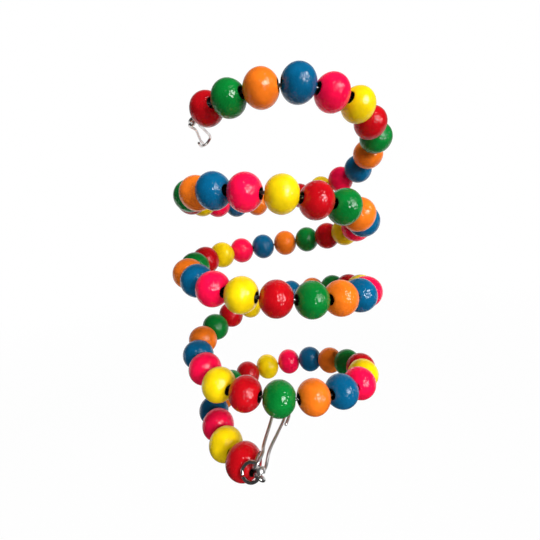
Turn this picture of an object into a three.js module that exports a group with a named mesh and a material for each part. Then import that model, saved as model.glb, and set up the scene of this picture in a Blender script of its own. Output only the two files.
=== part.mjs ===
// Beaded climbing coil for a parrot: a springy steel wire wound into an open, hand-bent helix,
// strung from end to end with painted wooden beads, with a jump ring and a wire snap clip on each end.
// Millimetres, +Z up. The origin is the centre of the eye that the coil hangs from, at its upper end.

import * as THREE from "three";

// Beads
const BEAD_COUNT = 79;
const BEAD_DIAMETER = 20;
const BEAD_LENGTH = 16.6;
const BEAD_GAP = 1.23;
const BEAD_SIDES = 10;
const BEAD_STEPS = 6;

const LACQUERS = [
  ["red", 0xc8101c],
  ["green", 0x0a8a3a],
  ["orange", 0xf08018],
  ["blue", 0x0f5f9c],
  ["pink", 0xf01858],
  ["yellow", 0xf4dc10],
];

// Runs: the colours repeat every run, and half of each run is made as one piece with short collars
const RUN_BEADS = LACQUERS.length;
const JOINED_BEADS = RUN_BEADS / 2;
const COLLAR_WALL = 0.9;

// Wire, with the play of a bead on it and the eyes bent at its ends
const WIRE_DIAMETER = 1.8;
const BORE_PLAY = 1.6;
const WIRE_SIDES = 6;
const WIRE_STEPS_PER_BEAD = 2;
const EYE_RADIUS = 2.2;
const EYE_BEND = 215;
const EYE_STEPS = 9;

// Coil: an even helix whose axis sways and whose turns tilt; each list grows with the first,
// second and third power of the place along the coil, which runs from -1 at the top to 1
const COIL_DIVISIONS = 3000;
const COIL_RADIUS = 53.9;
const COIL_TAPER = -1.5;
const COIL_TURNS = 4.08;
const TURN_PITCH = 46.6;
const START_ANGLE = 207;
const SWAY_SIDE = [0, 5.4, -15.8];
const SWAY_BACK = [0, 4.9, -15.8];
const SWAY_RISE = [0, -11.3, 4];
const TILT_BACK = [11.3, -7, -9.3];
const TILT_SIDE = [11, 0.4, -24.2];
const END_TURN = 0.5;
const UPPER_END_PULL = [-1.9, -24, 20];
const LOWER_END_PULL = [31.2, -20.5, 2.2];

// Jump rings
const RING_DIAMETER = 8.4;
const RING_WIRE = 1.5;
const RING_PLAY = 0.3;
const RING_SIDES = 6;
const RING_STEPS = 20;

// Clips: a body with an eye, a leg and a hooked crown, and a springy gate beside the leg
const CLIP_WIRE = 1.6;
const CLIP_SIDES = 6;
const CLIP_STEPS = 38;
const GATE_STEPS = 28;
const CLIP_LENGTH = 38;
const CLIP_EYE_LENGTH = 9.6;
const CLIP_EYE_WIDTH = 4.4;
const CLIP_CROWN_WIDTH = 9.2;
const CLIP_LEG_SLANT = 3.4;
const CLIP_PLAY = 0.35;
const GATE_PLAY = 0.4;
const GATE_FOOT_ANGLE = 50;
const GATE_WAIST = 3.4;
const FOOT_BEND = 150;
const FOOT_STEPS = 5;
const FOOT_RISE = 0.7;

// Shares that shape the clip: of the eye's half width at its tip, shoulder, bowl and neck, of the
// leg's slant from its root to its top, and of the crown's width at its two shoulders
const EYE_SHARES = { tip: 0.55, shoulder: 0.95, bowl: 0.8, neck: 0.5 };
const LEG_SHARES = { root: 0.1, middle: 0.55, top: 0.95, crown: 0.8 };
const CROWN_SHARES = { legSide: 0.25, hookSide: 0.22, hookInset: 0.08 };

// How the loose ends lie: the length of wire from the last bead to the eye, and in degrees the eye's
// twist about the wire, the ring's swing in the eye, the clip's place round the ring, counted from the
// eye, and its lean out of the ring's plane
const UPPER_LIE = { eyeLead: 3.3, eyeTwist: 148, ringSwing: -94, clipAngle: 158, clipLean: -18 };
const LOWER_LIE = { eyeLead: 6, eyeTwist: -130, ringSwing: 54, clipAngle: -85, clipLean: 42 };

const BEAD_SPACING = BEAD_LENGTH + BEAD_GAP;
const BORE_RADIUS = WIRE_DIAMETER / 2 + BORE_PLAY;
const RING_RADIUS = RING_DIAMETER / 2;
const UP = new THREE.Vector3(0, 0, 1);
const LATHE_AXIS = new THREE.Vector3(0, 1, 0);

const nickel = new THREE.MeshStandardMaterial({ color: 0xc8c8cc, roughness: 0.22, metalness: 1 });
const springSteel = new THREE.MeshStandardMaterial({ color: 0xa8a8ac, roughness: 0.3, metalness: 1 });
const lacquers = LACQUERS.map(
  ([, color]) => new THREE.MeshStandardMaterial({ color, roughness: 0.25, metalness: 0 }),
);

// Sum of a list's terms, each times the next power of the place along the coil
function grow([first, second, third], place) {
  return first * place + second * place ** 2 + third * place ** 3;
}

class BentCoil extends THREE.Curve {
  constructor() {
    super();
    this.arcLengthDivisions = COIL_DIVISIONS;
  }

  getPoint(share, target = new THREE.Vector3()) {
    const turn = share * (COIL_TURNS + END_TURN);
    const place = turn / (COIL_TURNS / 2) - 1;
    const angle = THREE.MathUtils.degToRad(START_ANGLE) + 2 * Math.PI * turn;
    const radius = COIL_RADIUS + COIL_TAPER * place;
    const upper = Math.max(0, 1 - turn / END_TURN) ** 2;
    const lower = Math.max(0, (turn - COIL_TURNS) / END_TURN + 1) ** 2;
    const [across, back] = [Math.cos(angle), Math.sin(angle)];
    const sway = [grow(SWAY_SIDE, place), grow(SWAY_BACK, place), grow(SWAY_RISE, place)];
    const pull = sway.map((value, axis) => value + UPPER_END_PULL[axis] * upper + LOWER_END_PULL[axis] * lower);
    const tilt = grow(TILT_BACK, place) * back + grow(TILT_SIDE, place) * across;
    return target.set(
      radius * across + pull[0],
      radius * back + pull[1],
      (COIL_TURNS / 2 - turn) * TURN_PITCH + tilt + pull[2],
    );
  }
}

const coil = new BentCoil();
const coilLength = coil.getLength();

// Point and direction of the coil at a length along it, counted from the first bead
function station(length) {
  const share = length / coilLength;
  return { point: coil.getPointAt(share), direction: coil.getTangentAt(share) };
}

function skin(corners, index) {
  const geometry = new THREE.BufferGeometry().setFromPoints(corners);
  geometry.setIndex(index);
  return geometry;
}

// Closed round tube through points, with flat ends; its rings turn as little as they can
function tubeGeometry(points, diameter, sides) {
  const last = points.length - 1;
  const along = points.map((point, i) =>
    new THREE.Vector3().subVectors(points[Math.min(i + 1, last)], points[Math.max(i - 1, 0)]).normalize(),
  );
  const side = new THREE.Vector3().crossVectors(along[0], Math.abs(along[0].z) < 0.9 ? UP : LATHE_AXIS);
  side.normalize();
  const corners = [];
  points.forEach((point, i) => {
    if (i > 0) {
      side.applyQuaternion(new THREE.Quaternion().setFromUnitVectors(along[i - 1], along[i]));
    }
    const other = new THREE.Vector3().crossVectors(along[i], side);
    for (let k = 0; k < sides; k += 1) {
      const turn = (2 * Math.PI * k) / sides;
      const corner = point.clone();
      corner.addScaledVector(side, (Math.cos(turn) * diameter) / 2);
      corner.addScaledVector(other, (Math.sin(turn) * diameter) / 2);
      corners.push(corner);
    }
  });
  const index = [];
  for (let i = 0; i < last; i += 1) {
    for (let k = 0; k < sides; k += 1) {
      const [a, b] = [i * sides + k, i * sides + ((k + 1) % sides)];
      index.push(a, b, b + sides, a, b + sides, a + sides);
    }
  }
  for (let k = 1; k < sides - 1; k += 1) {
    index.push(0, k + 1, k);
    index.push(last * sides, last * sides + k, last * sides + k + 1);
  }
  return skin(corners, index);
}

// Outline of a bead as [radius, height] from end to end: an ellipse whose two ends are cut off
// where it has narrowed to the given radii
function beadOutline(lowerCut, upperCut) {
  const radius = BEAD_DIAMETER / 2;
  const halfLength = BEAD_LENGTH / 2 / Math.cos(Math.asin(BORE_RADIUS / radius));
  const from = Math.PI - Math.asin(lowerCut / radius);
  const to = Math.asin(upperCut / radius);
  const outline = [];
  for (let step = 0; step <= BEAD_STEPS; step += 1) {
    const angle = THREE.MathUtils.lerp(from, to, step / BEAD_STEPS);
    outline.push([radius * Math.sin(angle), halfLength * Math.cos(angle)]);
  }
  return outline;
}

function boredBead() {
  const outline = beadOutline(BORE_RADIUS, BORE_RADIUS);
  const profile = [...outline, outline[0]].map((point) => new THREE.Vector2(...point));
  return new THREE.LatheGeometry(profile, BEAD_SIDES);
}

// Ring of points round the coil's line, at a height above a station
function ringAt({ point, direction }, radius, height) {
  const side = UP.clone().addScaledVector(direction, -UP.dot(direction)).normalize();
  const other = new THREE.Vector3().crossVectors(direction, side);
  const ring = [];
  for (let k = 0; k < BEAD_SIDES; k += 1) {
    const turn = (2 * Math.PI * k) / BEAD_SIDES;
    const corner = point.clone().addScaledVector(direction, height);
    corner.addScaledVector(side, radius * Math.cos(turn));
    ring.push(corner.addScaledVector(other, radius * Math.sin(turn)));
  }
  return ring;
}

// Beads joined by a short collar in each gap: one skin that runs along their outsides and back
// through the bore
function joinedBeads(first, count) {
  const collar = BORE_RADIUS + COLLAR_WALL;
  const rings = [];
  for (let k = 0; k < count; k += 1) {
    const place = station((first + k) * BEAD_SPACING);
    const outline = beadOutline(k === 0 ? BORE_RADIUS : collar, k === count - 1 ? BORE_RADIUS : collar);
    rings.push(...outline.map(([radius, height]) => ringAt(place, radius, height)));
  }
  for (let k = count - 1; k > 0; k -= 1) {
    rings.push(ringAt(station((first + k - 0.5) * BEAD_SPACING), BORE_RADIUS, 0));
  }
  const index = [];
  for (let i = 0; i < rings.length; i += 1) {
    const next = (i + 1) % rings.length;
    for (let k = 0; k < BEAD_SIDES; k += 1) {
      const beside = (k + 1) % BEAD_SIDES;
      const [a, b] = [i * BEAD_SIDES + k, i * BEAD_SIDES + beside];
      const [c, d] = [next * BEAD_SIDES + beside, next * BEAD_SIDES + k];
      index.push(a, b, c, a, c, d);
    }
  }
  return skin(rings.flat(), index);
}

// Frame of a wire end: where it leaves its last bead, which way, and the eye that it curls into
function wireEnd(length, sense, { eyeLead, eyeTwist }) {
  const { point, direction } = station(length);
  const out = direction.multiplyScalar(sense);
  const mouth = point.clone().addScaledVector(out, BEAD_LENGTH / 2);
  const neck = mouth.clone().addScaledVector(out, eyeLead);
  const curl = UP.clone().negate();
  curl.addScaledVector(out, -curl.dot(out)).normalize();
  curl.applyAxisAngle(out, THREE.MathUtils.degToRad(eyeTwist));
  const eye = neck.clone().addScaledVector(curl, EYE_RADIUS);
  return { mouth, eye, out, curl };
}

// Points of an eye, from the neck round to its straight tip
function eyePoints({ eye, out, curl }) {
  const points = [];
  for (let step = 0; step <= EYE_STEPS; step += 1) {
    const angle = THREE.MathUtils.degToRad((EYE_BEND * step) / EYE_STEPS);
    const point = eye.clone().addScaledVector(curl, -EYE_RADIUS * Math.cos(angle));
    points.push(point.addScaledVector(out, EYE_RADIUS * Math.sin(angle)));
  }
  const bend = THREE.MathUtils.degToRad(EYE_BEND);
  const tip = points.at(-1).clone().addScaledVector(curl, WIRE_DIAMETER * Math.sin(bend));
  points.push(tip.addScaledVector(out, WIRE_DIAMETER * Math.cos(bend)));
  return points;
}

// Least clear distance of a wire to itself, between points further apart along it than a half circle
function leastGap(points, diameter) {
  const along = [0];
  for (let i = 1; i < points.length; i += 1) {
    along.push(along[i - 1] + points[i].distanceTo(points[i - 1]));
  }
  let least = Infinity;
  for (let i = 0; i < points.length; i += 1) {
    for (let j = i + 1; j < points.length; j += 1) {
      if (along[j] - along[i] > Math.PI * EYE_RADIUS) {
        least = Math.min(least, points[i].distanceTo(points[j]) - diameter);
      }
    }
  }
  return least;
}

function namedMesh(name, geometry, material) {
  const mesh = new THREE.Mesh(geometry, material);
  mesh.name = name;
  return mesh;
}

const upperEnd = wireEnd(0, -1, UPPER_LIE);
const lowerEnd = wireEnd((BEAD_COUNT - 1) * BEAD_SPACING, 1, LOWER_LIE);

function coilWire() {
  const steps = (BEAD_COUNT - 1) * WIRE_STEPS_PER_BEAD;
  const points = [...eyePoints(upperEnd).reverse(), upperEnd.mouth];
  for (let step = 0; step <= steps; step += 1) {
    points.push(station((step * BEAD_SPACING) / WIRE_STEPS_PER_BEAD).point);
  }
  points.push(lowerEnd.mouth, ...eyePoints(lowerEnd));
  console.log(`coil_wire: least gap to itself ${leastGap(points, WIRE_DIAMETER).toFixed(2)} mm`);
  return namedMesh("coil_wire", tubeGeometry(points, WIRE_DIAMETER, WIRE_SIDES), springSteel);
}

function beadName(index) {
  return `${String(index + 1).padStart(2, "0")}_${LACQUERS[index % RUN_BEADS][0]}`;
}

// Every bead of the coil, run by run; the joined half comes last in one run and first in the next
function beads() {
  const meshes = [];
  const runs = Math.floor(BEAD_COUNT / RUN_BEADS);
  for (let run = 0; run < runs; run += 1) {
    const first = run * RUN_BEADS;
    const joined = run % 2 === 0 ? first + RUN_BEADS - JOINED_BEADS : first;
    const middle = joined + Math.floor(JOINED_BEADS / 2);
    const name = `beads_${beadName(joined)}_to_${beadName(joined + JOINED_BEADS - 1)}`;
    meshes.push(namedMesh(name, joinedBeads(joined, JOINED_BEADS), lacquers[middle % RUN_BEADS]));
    for (let index = first; index < first + RUN_BEADS; index += 1) {
      if (index < joined || index >= joined + JOINED_BEADS) {
        meshes.push(singleBead(index));
      }
    }
  }
  for (let index = runs * RUN_BEADS; index < BEAD_COUNT; index += 1) {
    meshes.push(singleBead(index));
  }
  return meshes;
}

function singleBead(index) {
  const { point, direction } = station(index * BEAD_SPACING);
  const mesh = namedMesh(`bead_${beadName(index)}`, boredBead(), lacquers[index % RUN_BEADS]);
  mesh.position.copy(point);
  mesh.quaternion.setFromUnitVectors(LATHE_AXIS, direction);
  return mesh;
}

// Smooth wire through points, cut into steps
function bentWire(name, points, steps) {
  const path = new THREE.CatmullRomCurve3(points, false, "centripetal");
  return namedMesh(name, tubeGeometry(path.getSpacedPoints(steps), CLIP_WIRE, CLIP_SIDES), nickel);
}

// Clip body in its own frame: the ring's centre is the origin, the ring runs along X where the
// clip hangs on it, and the clip points along Z
function clipBody(name) {
  const half = CLIP_EYE_WIDTH / 2;
  const bottom = RING_RADIUS - RING_WIRE / 2 - CLIP_PLAY - CLIP_WIRE / 2;
  const top = bottom + CLIP_EYE_LENGTH;
  const middle = (bottom + top) / 2;
  const crown = bottom + CLIP_LENGTH;
  const shoulder = crown - CLIP_CROWN_WIDTH / 2;
  const left = -CLIP_LEG_SLANT;
  const right = left + CLIP_CROWN_WIDTH;
  const centre = (left + right) / 2;
  const points = [
    [0, half * EYE_SHARES.tip, top - CLIP_WIRE],
    [0, half * EYE_SHARES.shoulder, middle + half],
    [0, half, middle - half / 2],
    [0, half * EYE_SHARES.bowl, bottom + half / 2],
    [0, 0, bottom],
    [0, -half * EYE_SHARES.bowl, bottom + half / 2],
    [0, -half, middle - half / 2],
    [0, -half * EYE_SHARES.shoulder, middle + half],
    [0, -half * EYE_SHARES.neck, top - CLIP_WIRE / 2],
    [left * LEG_SHARES.root, 0, top + CLIP_WIRE],
    [left * LEG_SHARES.middle, 0, (top + shoulder) / 2],
    [left * LEG_SHARES.top, 0, shoulder - CLIP_WIRE],
    [left * LEG_SHARES.crown, 0, shoulder + CLIP_CROWN_WIDTH * CROWN_SHARES.legSide],
    [centre, 0, crown],
    [right - CLIP_CROWN_WIDTH * CROWN_SHARES.hookInset, 0, shoulder + CLIP_CROWN_WIDTH * CROWN_SHARES.hookSide],
    [right, 0, shoulder - CLIP_WIRE],
    [right, 0, shoulder - CLIP_WIRE * 3],
  ];
  return bentWire(name, points.map((point) => new THREE.Vector3(...point)), CLIP_STEPS);
}

// Where the gate's foot hooks round the ring, in the clip's frame
function gateFoot() {
  const angle = THREE.MathUtils.degToRad(GATE_FOOT_ANGLE);
  return new THREE.Vector3(RING_RADIUS * Math.sin(angle), 0, RING_RADIUS * Math.cos(angle));
}

// Springy gate beside the clip's leg, from its foot on the ring to its tip inside the crown's hook
function clipGate(name) {
  const foot = gateFoot();
  const outward = foot.clone().normalize();
  const bendRadius = RING_WIRE / 2 + GATE_PLAY + CLIP_WIRE / 2;
  const bottom = RING_RADIUS - RING_WIRE / 2 - CLIP_PLAY - CLIP_WIRE / 2;
  const waist = bottom + CLIP_EYE_LENGTH + CLIP_WIRE;
  const hook = CLIP_CROWN_WIDTH - CLIP_LEG_SLANT - CLIP_WIRE - GATE_PLAY;
  const tip = bottom + CLIP_LENGTH - CLIP_CROWN_WIDTH / 2 - CLIP_WIRE;
  const points = [];
  for (let step = -FOOT_STEPS; step <= 0; step += 1) {
    const turn = THREE.MathUtils.degToRad((FOOT_BEND * step) / FOOT_STEPS);
    const point = foot.clone().addScaledVector(outward, bendRadius * Math.cos(turn));
    points.push(point.addScaledVector(LATHE_AXIS, bendRadius * Math.sin(turn)));
  }
  points.push(
    new THREE.Vector3(foot.x + bendRadius, FOOT_RISE, foot.z + bendRadius * 2),
    new THREE.Vector3(GATE_WAIST, 0, waist),
    new THREE.Vector3((GATE_WAIST + hook) / 2, 0, (waist + tip) / 2),
    new THREE.Vector3(hook, 0, tip - CLIP_WIRE * 2),
    new THREE.Vector3(hook - GATE_PLAY, 0, tip + CLIP_WIRE),
  );
  return bentWire(name, points, GATE_STEPS);
}

function jumpRing(name) {
  const geometry = new THREE.TorusGeometry(RING_RADIUS, RING_WIRE / 2, RING_SIDES, RING_STEPS);
  return namedMesh(name, geometry.rotateX(Math.PI / 2), nickel);
}

// Ring, clip and gate on a wire end; the ring hangs in the eye, and the clip lies on the ring
function endFitting(where, { eye, out, curl }, { ringSwing, clipAngle, clipLean }) {
  const across = new THREE.Vector3().crossVectors(out, curl);
  const toEye = curl.clone().negate().applyAxisAngle(across, THREE.MathUtils.degToRad(ringSwing));
  const back = new THREE.Vector3().crossVectors(toEye, across);
  const seat = EYE_RADIUS - (WIRE_DIAMETER + RING_WIRE) / 2 - RING_PLAY;
  const ringFrame = new THREE.Group();
  ringFrame.position.copy(eye).addScaledVector(toEye, -RING_RADIUS - seat);
  ringFrame.setRotationFromMatrix(new THREE.Matrix4().makeBasis(across, back, toEye));
  ringFrame.add(jumpRing(`${where}_ring`));

  const onRing = new THREE.Group();
  onRing.rotation.y = THREE.MathUtils.degToRad(clipAngle);
  const lean = new THREE.Group();
  const hanger = new THREE.Vector3(0, 0, RING_RADIUS);
  const swingAxis = gateFoot().sub(hanger).normalize();
  lean.quaternion.setFromAxisAngle(swingAxis, THREE.MathUtils.degToRad(-clipLean));
  lean.position.copy(hanger).sub(hanger.clone().applyQuaternion(lean.quaternion));
  lean.add(clipBody(`${where}_clip`), clipGate(`${where}_clip_gate`));
  onRing.add(lean);
  ringFrame.add(onRing);
  return ringFrame;
}

const ladder = new THREE.Group();
ladder.add(coilWire(), ...beads());
ladder.add(endFitting("upper", upperEnd, UPPER_LIE));
ladder.add(endFitting("lower", lowerEnd, LOWER_LIE));
ladder.position.copy(upperEnd.eye).negate();

export default ladder;
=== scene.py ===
"""Dresses the beaded climbing coil: lacquered wooden beads strung on a wound spring wire, with a jump
ring and a wire snap clip on each end."""

import math
import random
from bisect import bisect_right
from collections import namedtuple

import bmesh
import bpy
from mathutils import Matrix, Quaternion, Vector, noise


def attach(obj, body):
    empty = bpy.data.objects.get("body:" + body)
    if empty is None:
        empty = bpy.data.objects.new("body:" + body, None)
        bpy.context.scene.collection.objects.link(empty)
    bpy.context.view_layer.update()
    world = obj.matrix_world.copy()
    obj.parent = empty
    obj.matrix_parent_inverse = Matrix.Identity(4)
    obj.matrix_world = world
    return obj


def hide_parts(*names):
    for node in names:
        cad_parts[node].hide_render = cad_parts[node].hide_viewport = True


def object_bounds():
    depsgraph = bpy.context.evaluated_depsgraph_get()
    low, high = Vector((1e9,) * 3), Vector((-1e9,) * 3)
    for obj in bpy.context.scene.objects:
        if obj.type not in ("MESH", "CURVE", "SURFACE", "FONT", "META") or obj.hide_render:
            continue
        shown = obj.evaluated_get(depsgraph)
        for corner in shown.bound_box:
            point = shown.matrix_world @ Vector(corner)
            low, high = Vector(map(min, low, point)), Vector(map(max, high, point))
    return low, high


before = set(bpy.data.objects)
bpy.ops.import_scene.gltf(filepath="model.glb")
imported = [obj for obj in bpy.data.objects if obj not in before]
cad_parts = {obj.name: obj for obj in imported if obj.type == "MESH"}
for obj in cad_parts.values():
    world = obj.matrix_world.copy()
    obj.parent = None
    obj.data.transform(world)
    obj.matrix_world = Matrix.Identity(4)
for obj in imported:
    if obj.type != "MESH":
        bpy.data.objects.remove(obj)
cad_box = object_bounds()

# Shapes are drawn in millimetres, and each piece is scaled to metres when it is finished.
MM = 0.001
X_AXIS = Vector((1, 0, 0))
Y_AXIS = Vector((0, 1, 0))
UP = Vector((0, 0, 1))

# Beads, in runs of six colours; half of each run is one node of the frame
COLOURS = ("red", "green", "orange", "blue", "pink", "yellow")
BEAD_COUNT = 79
BEAD_RADIUS = 9.8
BEAD_LENGTH = 16.6
BEAD_HALF_SPAN = 8.88
BEAD_FULLNESS = 2
BEAD_SPACING = 17.83
BORE_RADIUS = 2.8
RIM_ROUNDING = 0.45
RUN_BEADS = len(COLOURS)
JOINED_BEADS = 3
RUN_COUNT = BEAD_COUNT // RUN_BEADS
BEAD_ARC_STEPS = 22
BEAD_SPIN_STEPS = 40
BEAD_SHRINK = 0.015
BEAD_LUMPS = 0.11
BEAD_TILT = math.radians(2.2)
LUMP_SPREAD = 9
PAINT_SEED = 7
PAINT_DRIFT = 500
RIM_TURN_IN = 0.3
RIM_TURN_DOWN = 0.2
MERGE_DISTANCE = 0.001
SLIM_ROWS = (
    # first bead, last bead and how slim they are turned
    (0, 6, 0.94),
    (60, 65, 0.965),
    (75, 78, 0.97),
)
BEAD_SLACK = {
    # bead: how far it sits off the wire's line, to the right and up in the picture
    0: (-0.4, 0.5), 1: (0.7, -0.8), 2: (0, -0.6), 3: (-0.2, 1), 4: (-0.7, -0.4),
    6: (-0.9, -0.6), 7: (0.6, 0.4), 8: (-0.9, 0), 9: (0.5, -0.5),
    19: (0.9, 0.3), 20: (1, 0), 21: (-0.6, 0), 22: (0, -0.5), 24: (-0.9, -0.2),
    26: (-1, 0), 28: (-1, 0),
    37: (0.6, 0), 38: (-1, 0), 39: (0.9, 0.3), 45: (1, 0), 46: (1, 0), 49: (0.9, 0),
    51: (0, 0.9), 53: (0.4, 0.8), 54: (0, 0.9), 56: (-1, 0),
    57: (-1, -0.3), 58: (0.5, 0), 59: (-0.5, -0.9), 60: (-0.5, 0), 62: (-0.4, 0.4),
    63: (-0.7, 0.3),
    65: (-1, 0), 66: (0.7, -0.6), 67: (0, -0.9), 68: (0, -0.9), 73: (0, 0.9),
    75: (-1, -0.3), 76: (0.6, 0.4), 77: (-0.2, -0.6),
}
BEAD_SLIDE = {
    # bead: how far it has slid along the wire, away from the upper end
    0: -0.3, 1: 0.5, 2: 0.3, 4: -0.3, 21: -0.3, 24: -0.2,
}

# Coil: a helix whose axis sways and whose turns tilt, with each end pulled out of line
COIL_RADIUS = 53.9
COIL_TAPER = -1.5
COIL_TURNS = 4.08
TURN_PITCH = 46.6
START_ANGLE = math.radians(207)
SWAY = ((0, 5.4, -15.8), (0, 4.9, -15.8), (0, -11.3, 4))
TILT_BACK = (11.3, -7, -9.3)
TILT_SIDE = (11, 0.4, -24.2)
END_TURN = 0.5
UPPER_END_PULL = Vector((-1.9, -24, 20))
LOWER_END_PULL = Vector((31.2, -20.5, 2.2))
COIL_DIVISIONS = 3000
DIRECTION_STEP = 0.1

# Wires
COIL_WIRE = 1.8
EYE_RADIUS = 2.2
EYE_BEND = math.radians(215)
EYE_STEPS = 26
WIRE_SIDES = 16
WIRE_STEPS_PER_BEAD = 8
RING_RADIUS = 4.2
RING_WIRE = 1.5
RING_PLATING = 0.1
RING_PLAY = 0.3
RING_STEPS = 64
RING_SPLIT = math.radians(6)
RING_SPLIT_PLACE = {"upper": math.radians(255), "lower": math.radians(130)}

# Clips: a body with an eye, a leg and a hooked crown, and a springy gate beside the leg
CLIP_WIRE = 1.6
CLIP_PLATING = 0.04
CLIP_LENGTH = 38
CLIP_EYE_LENGTH = 9.6
CLIP_EYE_WIDTH = 4.4
CLIP_CROWN_WIDTH = 9.2
CLIP_LEG_SLANT = 3.4
CLIP_PLAY = 0.35
GATE_PLAY = 0.4
GATE_FOOT_ANGLE = math.radians(50)
GATE_WAIST = 3.4
FOOT_BEND = math.radians(150)
FOOT_STEPS = 5
FOOT_RISE = 0.7
EYE_SHARES = {"tip": 0.55, "shoulder": 0.95, "bowl": 0.8, "neck": 0.5}
LEG_SHARES = {"root": 0.1, "middle": 0.55, "top": 0.95, "crown": 0.8}
CROWN_SHARES = {"leg_side": 0.25, "hook_side": 0.22, "hook_inset": 0.08}
STEPS_PER_SPAN = 9
ROUND_END = ((0.3, 0.95), (0.6, 0.8), (0.82, 0.57), (0.94, 0.34))
FOOT_WIDE = 1.9
FOOT_THIN = 0.62
FOOT_FLAT_END = 0.34
FOOT_FADE = 3
FOOT_LIFT = 2
HOOK_REACH = 3
GATE_TIP_REACH = 2

# How the loose ends lie
Lie = namedtuple("Lie", "eye_lead eye_twist ring_swing clip_angle clip_lean")
UPPER_LIE = Lie(3.3, math.radians(148), math.radians(-94), math.radians(158), math.radians(-18))
LOWER_LIE = Lie(6, math.radians(-130), math.radians(54), math.radians(-85), math.radians(42))

# Colours of the finishes, as linear values
LACQUER = {
    "red": (0.44, 0.002, 0.006),
    "green": (0.0008, 0.16, 0.022),
    "orange": (0.76, 0.16, 0.009),
    "blue": (0.0003, 0.092, 0.208),
    "pink": (0.84, 0.003, 0.055),
    "yellow": (0.78, 0.55, 0.002),
}
# Bare wood inside the bores, darkened to near-black as painted shade in the holes
BORE_WOOD_AND_PAINTED_SHADE = (0.018, 0.011, 0.007)
NICKEL_PALE = (0.82, 0.81, 0.8)
NICKEL_DULL = (0.56, 0.55, 0.54)
SATIN_PALE = (0.9, 0.87, 0.86)
SATIN_DULL = (0.72, 0.69, 0.68)
STEEL_PALE = (0.62, 0.62, 0.62)
STEEL_DULL = (0.38, 0.38, 0.38)
FLOOR_SHADE = (0.55, 0.55, 0.55)

# Grain of the finishes: noises, the bands of each noise that count, and what they change
Grain = namedtuple("Grain", "scale detail roughness")
WOOD_GRAIN = Grain(1.6, 4, 0.6)
WOOD_STRETCH = (1, 1, 0.12)
WOOD_BAND = (0.55, 0.8)
WOOD_STREAKS = 0.3
WOOD_BUMP = 0.1
WOOD_BUMP_DEPTH = 0.0002
BRUSHING = Grain(0.16, 3, 0.5)
BRUSHING_BAND = (0.3, 0.7)
PEEL = Grain(0.8, 1, 0.5)
PEEL_BUMP = 1
PEEL_BUMP_DEPTH = 0.0005
PITS = Grain(2.6, 3, 0.65)
PITS_BAND = (0.3, 0.75)
DEEP_SHARE = 0.8
LIT_SHARE = 1.08
LIT_LIFT = 0.001
PAINT_ROUGHNESS = (0.4, 0.6)
COAT_ROUGHNESS = (0.02, 0.1)
COAT_WEIGHT = 0.85
PATCHES = Grain(260, 2, 0.5)
PATCH_SHADE_BAND = (0.4, 0.7)
PATCH_WEAR_BAND = (0.35, 0.75)
NICKEL_ROUGHNESS = (0.05, 0.12)
SATIN_ROUGHNESS = (0.32, 0.46)
STEEL_ROUGHNESS = (0.2, 0.4)
FLOOR_ROUGHNESS = 0.9

# Camera, fitted to the beads of the photograph
CAMERA_PLACE = Vector((32.62, -194.20, -65.93))
CAMERA_PITCH = 0.1227
CAMERA_ROLL = -0.0823
CAMERA_LENS = 22.26
CAMERA_NEAR = 0.01
LEVEL_UP = Vector((0, math.sin(CAMERA_PITCH), math.cos(CAMERA_PITCH)))
CAMERA_RIGHT = X_AXIS * math.cos(CAMERA_ROLL) + LEVEL_UP * math.sin(CAMERA_ROLL)
CAMERA_UP = LEVEL_UP * math.cos(CAMERA_ROLL) - X_AXIS * math.sin(CAMERA_ROLL)

# Stage
FLOOR_DROP = 0.6
FLOOR_HALF = 12
FLOOR_GLOW = 0.98
FLOOR_FADE = (1, 4)
WORLD_LIGHT = 0.04
ROOM_SHADE = 0.05
ROOM_FADE = (0.55, 1)
LAMP_AIM = Vector((0.04, 0.02, -0.09))
LAMPS = {
    # name: place, size in metres, power in watts, and whether gloss shows it
    "key_lamp": (Vector((1.12, -1.5, 0.37)), 0.8, 42, True),
    "high_lamp": (Vector((0.5, -0.8, 1.75)), 1, 34, False),
    "fill_lamp": (Vector((0.05, -1.9, 0.25)), 0.7, 7, False),
    "back_lamp": (Vector((-0.3, 1, 0.25)), 1.2, 14, False),
}

WireEnd = namedtuple("WireEnd", "mouth eye out curl")
chance = random.Random(PAINT_SEED)


def grow(terms, place):
    """Sum of the terms, each times the next power of the place along the coil."""
    return sum(term * place ** (power + 1) for power, term in enumerate(terms))


def coil_point(turn):
    place = turn / (COIL_TURNS / 2) - 1
    angle = START_ANGLE + 2 * math.pi * turn
    across, back = math.cos(angle), math.sin(angle)
    radius = COIL_RADIUS + COIL_TAPER * place
    upper = max(0, 1 - turn / END_TURN) ** 2
    lower = max(0, (turn - COIL_TURNS) / END_TURN + 1) ** 2
    sway = Vector([grow(terms, place) for terms in SWAY])
    tilt = grow(TILT_BACK, place) * back + grow(TILT_SIDE, place) * across
    rise = (COIL_TURNS / 2 - turn) * TURN_PITCH + tilt
    round_axis = Vector((radius * across, radius * back, rise))
    return round_axis + sway + UPPER_END_PULL * upper + LOWER_END_PULL * lower


def measured_coil():
    """Points of the coil and the length along it up to each."""
    last_turn = COIL_TURNS + END_TURN
    points = [coil_point(last_turn * step / COIL_DIVISIONS) for step in range(COIL_DIVISIONS + 1)]
    lengths = [0]
    for before, after in zip(points, points[1:]):
        lengths.append(lengths[-1] + (after - before).length)
    return points, lengths


COIL_POINTS, COIL_LENGTHS = measured_coil()


def along_coil(length):
    step = min(max(bisect_right(COIL_LENGTHS, length) - 1, 0), COIL_DIVISIONS - 1)
    part = (length - COIL_LENGTHS[step]) / (COIL_LENGTHS[step + 1] - COIL_LENGTHS[step])
    return COIL_POINTS[step].lerp(COIL_POINTS[step + 1], part)


def coil_direction(length):
    behind = along_coil(max(length - DIRECTION_STEP, 0))
    return (along_coil(length + DIRECTION_STEP) - behind).normalized()


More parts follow.
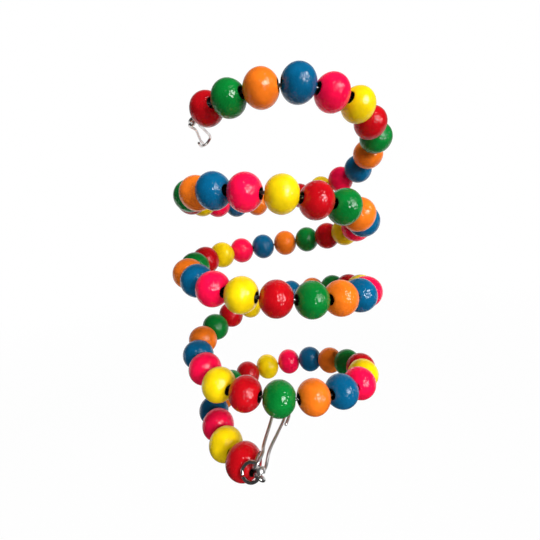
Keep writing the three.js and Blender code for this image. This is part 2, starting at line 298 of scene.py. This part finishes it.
def wire_end(length, sense, lie):
    """Where a wire end leaves its last bead, which way, and the eye that it curls into."""
    out = coil_direction(length) * sense
    mouth = along_coil(length) + out * BEAD_LENGTH / 2
    down = -UP - out * (-UP).dot(out)
    curl = Quaternion(out, lie.eye_twist) @ down.normalized()
    eye = mouth + out * lie.eye_lead + curl * EYE_RADIUS
    return WireEnd(mouth, eye, out, curl)


UPPER_END = wire_end(0, -1, UPPER_LIE)
LOWER_END = wire_end((BEAD_COUNT - 1) * BEAD_SPACING, 1, LOWER_LIE)
TO_FRAME = Matrix.Scale(MM, 4) @ Matrix.Translation(-UPPER_END.eye)


def eye_points(end):
    """Points of an eye, from its neck round to its straight tip, which is rounded off later."""
    points = []
    for step in range(EYE_STEPS + 1):
        angle = EYE_BEND * step / EYE_STEPS
        outward = end.out * math.sin(angle) - end.curl * math.cos(angle)
        points.append(end.eye + outward * EYE_RADIUS)
    tip = end.curl * math.sin(EYE_BEND) + end.out * math.cos(EYE_BEND)
    return points + [points[-1] + tip * COIL_WIRE / 2]


def placed_along(direction, point):
    """Matrix that lays a shape's own Z along a direction at a point."""
    return Matrix.Translation(point) @ UP.rotation_difference(direction).to_matrix().to_4x4()


def between(first, second, from_time, to_time, time):
    return first.lerp(second, (time - from_time) / (to_time - from_time))


def smooth_path(points):
    """Evenly bent path through points, with the bends tightest where the points are closest."""
    chain = [2 * points[0] - points[1], *points, 2 * points[-1] - points[-2]]
    path = []
    for a, b, c, d in zip(chain, chain[1:], chain[2:], chain[3:]):
        t_b = math.sqrt((b - a).length)
        t_c = t_b + math.sqrt((c - b).length)
        t_d = t_c + math.sqrt((d - c).length)
        for step in range(STEPS_PER_SPAN):
            t = t_b + (t_c - t_b) * step / STEPS_PER_SPAN
            ab = between(a, b, 0, t_b, t)
            bc = between(b, c, t_b, t_c, t)
            cd = between(c, d, t_c, t_d, t)
            abc = between(ab, bc, 0, t_c, t)
            bcd = between(bc, cd, t_b, t_d, t)
            path.append(between(abc, bcd, t_b, t_c, t))
    return path + [points[-1]]


def path_frames(path, spreads, side):
    """Frames along a path: Z follows it, X starts towards the side, and the spreads stretch X and Y."""
    last = len(path) - 1
    along = [(path[min(i + 1, last)] - path[max(i - 1, 0)]).normalized() for i in range(last + 1)]
    across = (side - along[0] * side.dot(along[0])).normalized()
    turn = Matrix((across, along[0].cross(across), along[0])).transposed().to_quaternion()
    frames = []
    for i, point in enumerate(path):
        if i > 0:
            turn = along[i - 1].rotation_difference(along[i]) @ turn
        wide, thin = spreads[i]
        frames.append(Matrix.LocRotScale(point, turn, Vector((wide, thin, 1))))
    return frames


def rounded_tip(path, spreads, radius):
    """Path and spreads with the last end drawn in to a rounded tip."""
    way = (path[-1] - path[-2]).normalized()
    wide, thin = spreads[-1]
    tip = [path[-1] + way * radius * forward for forward, _ in ROUND_END]
    drawn_in = [(wide * width, thin * width) for _, width in ROUND_END]
    return path + tip, spreads + drawn_in


def drawn_wire(path, radius, spreads=None, side=None, first_round=False, last_round=False):
    """A wire drawn along a path and closed at both ends, each cut flat or rounded off."""
    spreads = spreads or [(1, 1)] * len(path)
    if first_round:
        path, spreads = rounded_tip(path[::-1], spreads[::-1], radius)
        path, spreads = path[::-1], spreads[::-1]
    if last_round:
        path, spreads = rounded_tip(path, spreads, radius)
    frames = path_frames(path, spreads, side or (path[1] - path[0]).orthogonal())
    bm = bmesh.new()
    bmesh.ops.create_circle(bm, segments=WIRE_SIDES, radius=radius, matrix=frames[0])
    rim = bm.edges[:]
    for before, after in zip(frames, frames[1:]):
        drawn = bmesh.ops.extrude_edge_only(bm, edges=rim)["geom"]
        rim = [part for part in drawn if isinstance(part, bmesh.types.BMEdge) and part.is_boundary]
        ring = [part for part in drawn if isinstance(part, bmesh.types.BMVert)]
        bmesh.ops.transform(bm, matrix=after @ before.inverted(), verts=ring)
    bmesh.ops.holes_fill(bm, edges=bm.edges)
    return bm


def finished_piece(bm, name, body, material, nodes):
    """Object of a finished shape: it rides on a body, and stands for nodes of the frame."""
    bmesh.ops.transform(bm, matrix=TO_FRAME, verts=bm.verts)
    bmesh.ops.recalc_face_normals(bm, faces=bm.faces)
    for face in bm.faces:
        # The closed end of a wire has as many corners as the wire has sides, and stays flat
        face.smooth = len(face.verts) < WIRE_SIDES
    mesh = bpy.data.meshes.new(name)
    bm.to_mesh(mesh)
    bm.free()
    mesh.materials.append(material)
    piece = bpy.data.objects.new(name, mesh)
    bpy.context.scene.collection.objects.link(piece)
    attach(piece, body)
    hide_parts(*nodes)


def new_material(name):
    """Empty material, with its nodes, its links and its shader."""
    material = bpy.data.materials.new(name)
    material.use_nodes = True
    nodes, links = material.node_tree.nodes, material.node_tree.links
    return material, nodes, links, nodes["Principled BSDF"]


def noise_node(nodes, links, vector, grain):
    pattern = nodes.new("ShaderNodeTexNoise")
    pattern.inputs["Scale"].default_value = grain.scale
    pattern.inputs["Detail"].default_value = grain.detail
    pattern.inputs["Roughness"].default_value = grain.roughness
    links.new(vector, pattern.inputs["Vector"])
    return pattern.outputs["Fac"]


def ranged(nodes, links, value, low, high, to_low, to_high):
    span = nodes.new("ShaderNodeMapRange")
    span.inputs["From Min"].default_value = low
    span.inputs["From Max"].default_value = high
    span.inputs["To Min"].default_value = to_low
    span.inputs["To Max"].default_value = to_high
    links.new(value, span.inputs["Value"])
    return span.outputs["Result"]


def mixed(nodes, links, share, first, second):
    """Colour between two others, each given as a colour or as a socket."""
    mix = nodes.new("ShaderNodeMix")
    mix.data_type = "RGBA"
    links.new(share, mix.inputs["Factor"])
    for colour, socket in ((first, mix.inputs["A"]), (second, mix.inputs["B"])):
        if isinstance(colour, bpy.types.NodeSocket):
            links.new(colour, socket)
        else:
            socket.default_value = (*colour, 1)
    return mix.outputs["Result"]


def bumped(nodes, links, height, strength, depth):
    bump = nodes.new("ShaderNodeBump")
    bump.inputs["Strength"].default_value = strength
    bump.inputs["Distance"].default_value = depth
    links.new(height, bump.inputs["Height"])
    return bump.outputs["Normal"]


def lacquered_wood(colour):
    """Thick glossy paint on turned wood, finely rippled, with the grain showing through; the bore is bare
    wood darkened with painted shade.
    """
    material, nodes, links, shader = new_material(f"{colour}_lacquer")
    place = nodes.new("ShaderNodeAttribute")
    place.attribute_name = "bead_place"
    stretch = nodes.new("ShaderNodeMapping")
    stretch.inputs["Scale"].default_value = WOOD_STRETCH
    links.new(place.outputs["Vector"], stretch.inputs["Vector"])
    grain = noise_node(nodes, links, stretch.outputs["Vector"], WOOD_GRAIN)
    brushing = noise_node(nodes, links, place.outputs["Vector"], BRUSHING)
    peel = noise_node(nodes, links, place.outputs["Vector"], PEEL)
    pits = noise_node(nodes, links, place.outputs["Vector"], PITS)

    shade = LACQUER[colour]
    deep = tuple(channel * DEEP_SHARE for channel in shade)
    lit = tuple(min(1, channel * LIT_SHARE + LIT_LIFT) for channel in shade)
    brushed = ranged(nodes, links, brushing, *BRUSHING_BAND, 0, 1)
    painted = mixed(nodes, links, brushed, deep, lit)
    streaks = ranged(nodes, links, grain, *WOOD_BAND, 0, WOOD_STREAKS)
    streaked = mixed(nodes, links, streaks, painted, deep)
    # Towards the bore the paint turns into the bore colour: bare wood with painted shade in the hole
    width = nodes.new("ShaderNodeAttribute")
    width.attribute_name = "bead_width"
    rim = (BORE_RADIUS, BORE_RADIUS + RIM_ROUNDING)
    bore_wood_and_shade_mask = ranged(nodes, links, width.outputs["Fac"], *rim, 1, 0)
    links.new(mixed(nodes, links, bore_wood_and_shade_mask, streaked, BORE_WOOD_AND_PAINTED_SHADE), shader.inputs["Base Color"])
    paint_roughness = ranged(nodes, links, pits, *PITS_BAND, *PAINT_ROUGHNESS)
    links.new(paint_roughness, shader.inputs["Roughness"])
    links.new(bumped(nodes, links, grain, WOOD_BUMP, WOOD_BUMP_DEPTH), shader.inputs["Normal"])
    shader.inputs["Specular IOR Level"].default_value = 0
    links.new(bumped(nodes, links, peel, PEEL_BUMP, PEEL_BUMP_DEPTH), shader.inputs["Coat Normal"])
    coat_roughness = ranged(nodes, links, pits, *PITS_BAND, *COAT_ROUGHNESS)
    links.new(coat_roughness, shader.inputs["Coat Roughness"])
    shader.inputs["Coat Weight"].default_value = COAT_WEIGHT
    return material


def plated_wire(name, pale, dull, roughness):
    """Bright drawn metal with duller patches."""
    material, nodes, links, shader = new_material(name)
    place = nodes.new("ShaderNodeTexCoord")
    patches = noise_node(nodes, links, place.outputs["Object"], PATCHES)
    share = ranged(nodes, links, patches, *PATCH_SHADE_BAND, 0, 1)
    links.new(mixed(nodes, links, share, pale, dull), shader.inputs["Base Color"])
    worn = ranged(nodes, links, patches, *PATCH_WEAR_BAND, *roughness)
    links.new(worn, shader.inputs["Roughness"])
    shader.inputs["Metallic"].default_value = 1
    return material


lacquers = {colour: lacquered_wood(colour) for colour in COLOURS}
nickel = plated_wire("nickel_plate", NICKEL_PALE, NICKEL_DULL, NICKEL_ROUGHNESS)
satin_nickel = plated_wire("satin_nickel", SATIN_PALE, SATIN_DULL, SATIN_ROUGHNESS)
spring_steel = plated_wire("spring_steel", STEEL_PALE, STEEL_DULL, STEEL_ROUGHNESS)


def bead_outline(girth):
    """Radius and height at each point of a bead's outline: outside, rims and back along the bore."""
    lip = math.asin(((BORE_RADIUS + RIM_ROUNDING) / girth) ** (BEAD_FULLNESS / 2))
    outline = []
    for step in range(BEAD_ARC_STEPS + 1):
        angle = math.pi - lip + (2 * lip - math.pi) * step / BEAD_ARC_STEPS
        radius = girth * math.sin(angle) ** (2 / BEAD_FULLNESS)
        rise = abs(math.cos(angle)) ** (2 / BEAD_FULLNESS)
        outline.append((radius, math.copysign(BEAD_HALF_SPAN * rise, math.cos(angle))))
    rim_height = outline[-1][1]
    turned_in = [
        (BORE_RADIUS + RIM_ROUNDING * RIM_TURN_IN, rim_height - RIM_ROUNDING * RIM_TURN_DOWN),
        (BORE_RADIUS, rim_height - RIM_ROUNDING),
    ]
    outline += turned_in
    outline += [(radius, -height) for radius, height in reversed(turned_in)]
    return outline


def turned_bead(slimness):
    """A bead turned about its own Z, with lumps of thick paint. Each point keeps its place and width."""
    bm = bmesh.new()
    place = bm.verts.layers.float_vector.new("bead_place")
    width = bm.verts.layers.float.new("bead_width")
    shrink = 1 - chance.uniform(0, BEAD_SHRINK)
    outline = bead_outline(BEAD_RADIUS * slimness)
    corners = [bm.verts.new((radius * shrink, 0, height * shrink)) for radius, height in outline]
    edges = [bm.edges.new(pair) for pair in zip(corners, corners[1:] + corners[:1])]
    bmesh.ops.spin(
        bm,
        geom=corners + edges,
        axis=UP,
        cent=(0, 0, 0),
        angle=2 * math.pi,
        steps=BEAD_SPIN_STEPS,
        use_merge=True,
    )
    bmesh.ops.remove_doubles(bm, verts=bm.verts, dist=MERGE_DISTANCE)
    # Each bead takes its paint from another place in the noise
    drift = Vector([chance.uniform(-PAINT_DRIFT, PAINT_DRIFT) for _ in range(3)])
    for corner in bm.verts:
        swell = noise.noise(corner.co / LUMP_SPREAD + drift)
        corner.co *= 1 + (swell - 1) * BEAD_LUMPS / BEAD_RADIUS
        corner[place] = corner.co + drift
        corner[width] = corner.co.xy.length
    return bm


def bead_title(index):
    return f"{index + 1:02d}_{COLOURS[index % RUN_BEADS]}"


def bead_body(index):
    """Body and node of a bead: its own, or those of the joined half of its run."""
    run = min(index // RUN_BEADS, RUN_COUNT - 1)
    first = run * RUN_BEADS
    joined = first + RUN_BEADS - JOINED_BEADS if run % 2 == 0 else first
    if joined <= index < joined + JOINED_BEADS:
        last = joined + JOINED_BEADS - 1
        return f"run_{run + 1:02d}", f"beads_{bead_title(joined)}_to_{bead_title(last)}"
    return f"bead_{index + 1:02d}", f"bead_{bead_title(index)}"


def bead_shift(index, direction):
    """How far a loose bead sits from its place, within the play of its bore and the gaps beside it."""
    across, rise = BEAD_SLACK.get(index, (0, 0))
    shift = CAMERA_RIGHT * across + CAMERA_UP * rise
    return shift + direction * (BEAD_SLIDE.get(index, 0) - shift.dot(direction))


def strung_beads():
    for index in range(BEAD_COUNT):
        length = index * BEAD_SPACING
        direction = coil_direction(length)
        colour = COLOURS[index % RUN_BEADS]
        slimness = [slim for first, last, slim in SLIM_ROWS if first <= index <= last]
        bm = turned_bead(min(slimness, default=1))
        roll = Matrix.Rotation(chance.uniform(0, 2 * math.pi), 4, "Z")
        lean = BEAD_TILT if 0 < index < BEAD_COUNT - 1 else 0
        tilt = Matrix.Rotation(chance.uniform(-lean, lean), 4, "X")
        spot = along_coil(length) + bead_shift(index, direction)
        place = placed_along(direction, spot) @ roll @ tilt
        bmesh.ops.transform(bm, matrix=place, verts=bm.verts)
        body, node = bead_body(index)
        name = f"lacquered_bead_{bead_title(index)}"
        finished_piece(bm, name, body, lacquers[colour], [node])


def coil_wire():
    """The wire in one length for each run, cut halfway between two beads, where the next run twists."""
    for run in range(RUN_COUNT):
        start = (run * RUN_BEADS - 0.5) * BEAD_SPACING
        stop = ((run + 1) * RUN_BEADS - 0.5) * BEAD_SPACING
        if run == 0:
            start = 0
        if run == RUN_COUNT - 1:
            stop = (BEAD_COUNT - 1) * BEAD_SPACING
        steps = round((stop - start) / BEAD_SPACING * WIRE_STEPS_PER_BEAD)
        path = [along_coil(start + (stop - start) * step / steps) for step in range(steps + 1)]
        if run == 0:
            path = eye_points(UPPER_END)[::-1] + [UPPER_END.mouth] + path
        if run == RUN_COUNT - 1:
            path = path + [LOWER_END.mouth] + eye_points(LOWER_END)
        bm = drawn_wire(path, COIL_WIRE / 2, first_round=run == 0, last_round=run == RUN_COUNT - 1)
        body = f"run_{run + 1:02d}"
        name = f"spring_wire_{run + 1:02d}"
        finished_piece(bm, name, body, spring_steel, ["coil_wire"])


def ring_matrix(end, lie):
    """Frame of a ring that hangs in an eye: its Z points to the eye, and its Y runs through the ring."""
    across = end.out.cross(end.curl)
    to_eye = Quaternion(across, lie.ring_swing) @ -end.curl
    back = to_eye.cross(across)
    seat = EYE_RADIUS - (COIL_WIRE + RING_WIRE) / 2 - RING_PLAY
    turn = Matrix((across, back, to_eye)).transposed()
    return Matrix.Translation(end.eye - to_eye * (RING_RADIUS + seat)) @ turn.to_4x4()


def on_ring(angle):
    """Point of a ring's centre line, in the ring's frame."""
    return Vector((RING_RADIUS * math.sin(angle), 0, RING_RADIUS * math.cos(angle)))


def clip_matrix(ring, lie):
    """Frame of a clip on its ring: the ring's centre is its origin, and the clip points along its Z."""
    hanger = on_ring(0)
    lean = Quaternion((on_ring(GATE_FOOT_ANGLE) - hanger).normalized(), -lie.clip_lean)
    leaning = Matrix.Translation(hanger - lean @ hanger) @ lean.to_matrix().to_4x4()
    return ring @ Matrix.Rotation(lie.clip_angle, 4, "Y") @ leaning


def jump_ring(where, ring):
    start = RING_SPLIT_PLACE[where] + RING_SPLIT / 2
    bend = 2 * math.pi - RING_SPLIT
    path = [on_ring(start + bend * step / RING_STEPS) for step in range(RING_STEPS + 1)]
    bm = drawn_wire(path, RING_WIRE / 2 + RING_PLATING)
    bmesh.ops.transform(bm, matrix=ring, verts=bm.verts)
    finished_piece(bm, f"{where}_jump_ring", f"{where}_ring", nickel, [f"{where}_ring"])


CLIP_BOTTOM = RING_RADIUS - RING_WIRE / 2 - CLIP_PLAY - CLIP_WIRE / 2


def clip_body(where, clip):
    """The clip's stiff wire: an eye on the ring, a slanting leg and the crown hooked over the gate."""
    half = CLIP_EYE_WIDTH / 2
    top = CLIP_BOTTOM + CLIP_EYE_LENGTH
    middle = (CLIP_BOTTOM + top) / 2
    crown = CLIP_BOTTOM + CLIP_LENGTH
    shoulder = crown - CLIP_CROWN_WIDTH / 2
    left = -CLIP_LEG_SLANT
    right = left + CLIP_CROWN_WIDTH
    eye_side = [
        (0, half * EYE_SHARES["bowl"], CLIP_BOTTOM + half / 2),
        (0, half, middle - half / 2),
        (0, half * EYE_SHARES["shoulder"], middle + half),
    ]
    points = [
        (0, half * EYE_SHARES["tip"], top - CLIP_WIRE),
        *reversed(eye_side),
        (0, 0, CLIP_BOTTOM),
        *((x, -y, z) for x, y, z in eye_side),
        (0, -half * EYE_SHARES["neck"], top - CLIP_WIRE / 2),
        (left * LEG_SHARES["root"], 0, top + CLIP_WIRE),
        (left * LEG_SHARES["middle"], 0, (top + shoulder) / 2),
        (left * LEG_SHARES["top"], 0, shoulder - CLIP_WIRE),
        (left * LEG_SHARES["crown"], 0, shoulder + CLIP_CROWN_WIDTH * CROWN_SHARES["leg_side"]),
        ((left + right) / 2, 0, crown),
        (
            right - CLIP_CROWN_WIDTH * CROWN_SHARES["hook_inset"],
            0,
            shoulder + CLIP_CROWN_WIDTH * CROWN_SHARES["hook_side"],
        ),
        (right, 0, shoulder - CLIP_WIRE),
        (right, 0, shoulder - CLIP_WIRE * HOOK_REACH),
    ]
    path = smooth_path([Vector(point) for point in points])
    bm = drawn_wire(path, CLIP_WIRE / 2 + CLIP_PLATING, first_round=True, last_round=True)
    bmesh.ops.transform(bm, matrix=clip, verts=bm.verts)
    node = f"{where}_clip"
    finished_piece(bm, f"{where}_clip_wire", f"{where}_clip", satin_nickel, [node])


def foot_spread(place):
    """How wide and how thin the gate's wire is pressed, from a place of 0 at its foot to 1 at its tip."""
    pressed = max(0, 1 - max(0, place / FOOT_FLAT_END - 1) * FOOT_FADE)
    eased = pressed * pressed * (3 - 2 * pressed)
    return 1 + (FOOT_WIDE - 1) * eased, 1 + (FOOT_THIN - 1) * eased


def clip_gate(where, clip):
    """The springy gate: a flattened foot hooked round the ring, a waist and a tip inside the crown."""
    foot = on_ring(GATE_FOOT_ANGLE)
    outward = foot.normalized()
    bend = RING_WIRE / 2 + GATE_PLAY + CLIP_WIRE / 2
    waist = CLIP_BOTTOM + CLIP_EYE_LENGTH + CLIP_WIRE
    hook = CLIP_CROWN_WIDTH - CLIP_LEG_SLANT - CLIP_WIRE - GATE_PLAY
    tip = CLIP_BOTTOM + CLIP_LENGTH - CLIP_CROWN_WIDTH / 2 - CLIP_WIRE
    points = []
    for step in range(-FOOT_STEPS, 1):
        angle = FOOT_BEND * step / FOOT_STEPS
        points.append(foot + outward * bend * math.cos(angle) + Y_AXIS * bend * math.sin(angle))
    points += [
        Vector((foot.x + bend, FOOT_RISE, foot.z + bend * FOOT_LIFT)),
        Vector((GATE_WAIST, 0, waist)),
        Vector(((GATE_WAIST + hook) / 2, 0, (waist + tip) / 2)),
        Vector((hook, 0, tip - CLIP_WIRE * GATE_TIP_REACH)),
        Vector((hook - GATE_PLAY, 0, tip + CLIP_WIRE)),
    ]
    path = smooth_path(points)
    spreads = [foot_spread(i / (len(path) - 1)) for i in range(len(path))]
    side = outward.cross(Y_AXIS)
    bm = drawn_wire(path, CLIP_WIRE / 2, spreads, side, first_round=True, last_round=True)
    bmesh.ops.transform(bm, matrix=clip, verts=bm.verts)
    node = f"{where}_clip_gate"
    finished_piece(bm, f"{where}_gate_wire", f"{where}_gate", satin_nickel, [node])


def end_fitting(where, end, lie):
    ring = ring_matrix(end, lie)
    clip = clip_matrix(ring, lie)
    jump_ring(where, ring)
    clip_body(where, clip)
    clip_gate(where, clip)


def add_camera():
    lens = bpy.data.cameras.new("camera")
    lens.lens = CAMERA_LENS
    lens.clip_start = CAMERA_NEAR
    camera = bpy.data.objects.new("camera", lens)
    bpy.context.scene.collection.objects.link(camera)
    turn = Matrix((CAMERA_RIGHT, CAMERA_UP, CAMERA_RIGHT.cross(CAMERA_UP))).transposed()
    camera.matrix_world = Matrix.Translation(CAMERA_PLACE * MM) @ turn.to_4x4()
    bpy.context.scene.camera = camera


def add_lamps():
    for name, (place, size, power, glossy) in LAMPS.items():
        lamp = bpy.data.lights.new(name, "AREA")
        lamp.size = size
        lamp.energy = power
        holder = bpy.data.objects.new(name, lamp)
        holder.visible_glossy = glossy
        bpy.context.scene.collection.objects.link(holder)
        turn = (LAMP_AIM - place).to_track_quat("-Z", "Y")
        holder.matrix_world = Matrix.Translation(place) @ turn.to_matrix().to_4x4()


def combined(nodes, links, operation, first, second):
    total = nodes.new("ShaderNodeMath")
    total.operation = operation
    links.new(first, total.inputs[0])
    links.new(second, total.inputs[1])
    return total.outputs["Value"]


def studio_glow(nodes, links, depth):
    """Which rays see the studio's own white, and how white it is. The camera sees it fully. Gloss and
    glass see it behind the object, and a dim room on the camera's side. The light on the object gets
    none of it."""
    path = nodes.new("ShaderNodeLightPath")
    split = nodes.new("ShaderNodeSeparateXYZ")
    links.new(depth, split.inputs["Vector"])
    backdrop = ranged(nodes, links, split.outputs["Y"], *ROOM_FADE, ROOM_SHADE, 1)
    camera = path.outputs["Is Camera Ray"]
    glossy = path.outputs["Is Glossy Ray"]
    through = path.outputs["Is Transmission Ray"]
    mirrored = combined(nodes, links, "MAXIMUM", glossy, through)
    seeing = combined(nodes, links, "MAXIMUM", camera, mirrored)
    mirrored_white = combined(nodes, links, "MULTIPLY", mirrored, backdrop)
    whiteness = combined(nodes, links, "MAXIMUM", camera, mirrored_white)
    return seeing, whiteness


def add_world():
    world = bpy.data.worlds.new("studio")
    world.use_nodes = True
    nodes, links = world.node_tree.nodes, world.node_tree.links
    background = nodes["Background"]
    background.inputs["Color"].default_value = (1, 1, 1, 1)
    way = nodes.new("ShaderNodeTexCoord")
    seeing, whiteness = studio_glow(nodes, links, way.outputs["Generated"])
    unseen = ranged(nodes, links, seeing, 0, 1, WORLD_LIGHT, 0)
    links.new(combined(nodes, links, "ADD", unseen, whiteness), background.inputs["Strength"])
    bpy.context.scene.world = world


def add_floor():
    """Plain pale floor that keeps the shadow, and glows white where it is seen."""
    bm = bmesh.new()
    bmesh.ops.create_grid(bm, x_segments=1, y_segments=1, size=FLOOR_HALF)
    level = cad_box[0][2] - FLOOR_DROP
    bmesh.ops.translate(bm, verts=bm.verts, vec=(0, 0, level))
    mesh = bpy.data.meshes.new("floor")
    bm.to_mesh(mesh)
    bm.free()
    material, nodes, links, shader = new_material("pale_floor")
    shader.inputs["Base Color"].default_value = (*FLOOR_SHADE, 1)
    shader.inputs["Roughness"].default_value = FLOOR_ROUGHNESS
    glow = nodes.new("ShaderNodeEmission")
    blend = nodes.new("ShaderNodeMixShader")
    place = nodes.new("ShaderNodeNewGeometry")
    seeing, whiteness = studio_glow(nodes, links, place.outputs["Position"])
    links.new(whiteness, glow.inputs["Strength"])
    span = nodes.new("ShaderNodeVectorMath")
    span.operation = "LENGTH"
    links.new(place.outputs["Position"], span.inputs[0])
    glowing = ranged(nodes, links, span.outputs["Value"], *FLOOR_FADE, FLOOR_GLOW, 1)
    links.new(combined(nodes, links, "MULTIPLY", seeing, glowing), blend.inputs["Fac"])
    links.new(shader.outputs["BSDF"], blend.inputs[1])
    links.new(glow.outputs["Emission"], blend.inputs[2])
    links.new(blend.outputs["Shader"], nodes["Material Output"].inputs["Surface"])
    mesh.materials.append(material)
    floor = bpy.data.objects.new("floor", mesh)
    bpy.context.scene.collection.objects.link(floor)


add_camera()
strung_beads()
coil_wire()
end_fitting("upper", UPPER_END, UPPER_LIE)
end_fitting("lower", LOWER_END, LOWER_LIE)
add_lamps()
add_world()
add_floor()
bpy.context.scene.view_settings.view_transform = "Standard"
